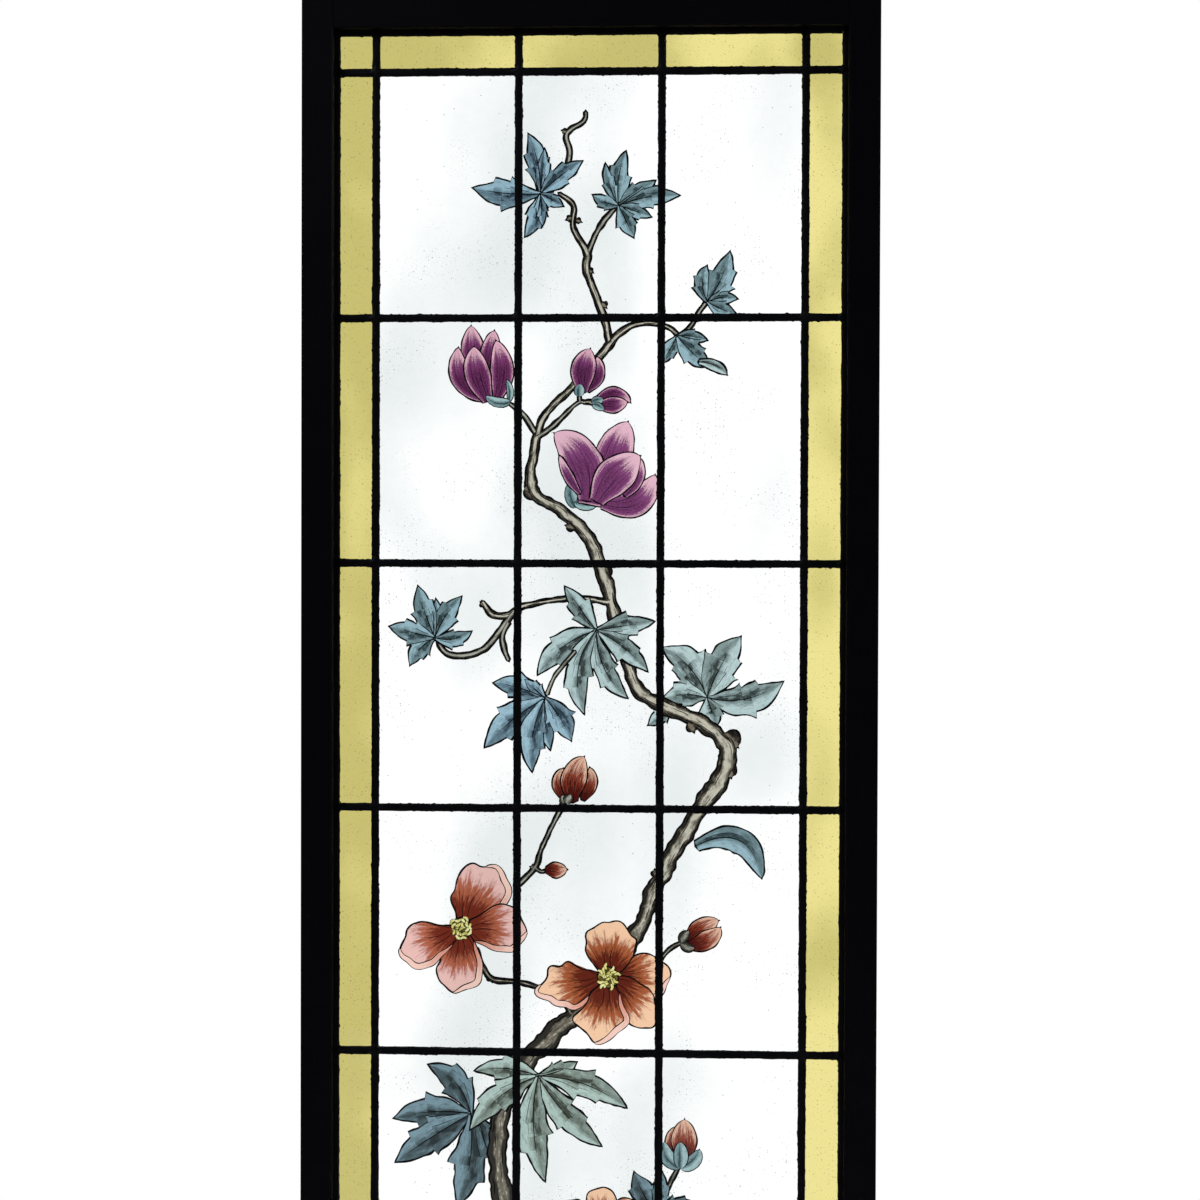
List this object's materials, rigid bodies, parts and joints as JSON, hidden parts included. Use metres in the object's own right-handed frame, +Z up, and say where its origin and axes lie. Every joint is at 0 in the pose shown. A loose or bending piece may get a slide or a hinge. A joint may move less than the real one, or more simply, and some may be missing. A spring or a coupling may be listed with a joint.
{
  "type": "stained glass window",
  "caption": "Tall leaded window of clear panes painted with a flowering magnolia branch, with an amber border, in a black wooden frame.",
  "frame": {"origin": "middle of the bottom rail's underside, where the window stands on its sill", "axes": "+Z up along the stiles, +X to the right seen from the front, the painted front faces -Y"},
  "size_m": [0.5746, 0.036, 1.373],
  "materials": {
    "frame_wood": "black matt paint",
    "bead_wood": "black matt paint",
    "lead": "darkened lead, satin",
    "clear_glass": "clear, painted and fired",
    "amber_glass": "pale amber, polished"
  },
  "bodies": {
    "root": {"rail_bottom": "frame_wood", "rail_top": "frame_wood", "stile_left": "frame_wood", "stile_right": "frame_wood", "bead_bottom": "bead_wood", "bead_left": "bead_wood", "bead_right": "bead_wood", "bead_top": "bead_wood", "lead_edge_bottom": "lead", "lead_edge_left": "lead", "lead_edge_right": "lead", "lead_edge_top": "lead", "lead_row_1": "lead", "lead_row_2": "lead", "lead_row_3": "lead", "lead_row_4": "lead", "lead_row_5": "lead", "lead_row_6": "lead", "lead_upright_1": "lead", "lead_upright_2": "lead", "lead_upright_3": "lead", "lead_upright_4": "lead", "border_bottom_col1": "amber_glass", "border_bottom_col2": "amber_glass", "border_bottom_col3": "amber_glass", "border_corner_bottom_left": "amber_glass", "border_corner_bottom_right": "amber_glass", "border_corner_top_left": "amber_glass", "border_corner_top_right": "amber_glass", "border_left_row1": "amber_glass", "border_left_row2": "amber_glass", "border_left_row3": "amber_glass", "border_left_row4": "amber_glass", "border_left_row5": "amber_glass", "border_right_row1": "amber_glass", "border_right_row2": "amber_glass", "border_right_row3": "amber_glass", "border_right_row4": "amber_glass", "border_right_row5": "amber_glass", "border_top_col1": "amber_glass", "border_top_col2": "amber_glass", "border_top_col3": "amber_glass", "pane_row1_col1": "clear_glass", "pane_row1_col2": "clear_glass", "pane_row1_col3": "clear_glass", "pane_row2_col1": "clear_glass", "pane_row2_col2": "clear_glass", "pane_row2_col3": "clear_glass", "pane_row3_col1": "clear_glass", "pane_row3_col2": "clear_glass", "pane_row3_col3": "clear_glass", "pane_row4_col1": "clear_glass", "pane_row4_col2": "clear_glass", "pane_row4_col3": "clear_glass", "pane_row5_col1": "clear_glass", "pane_row5_col2": "clear_glass", "pane_row5_col3": "clear_glass"}
  },
  "joints": []
}
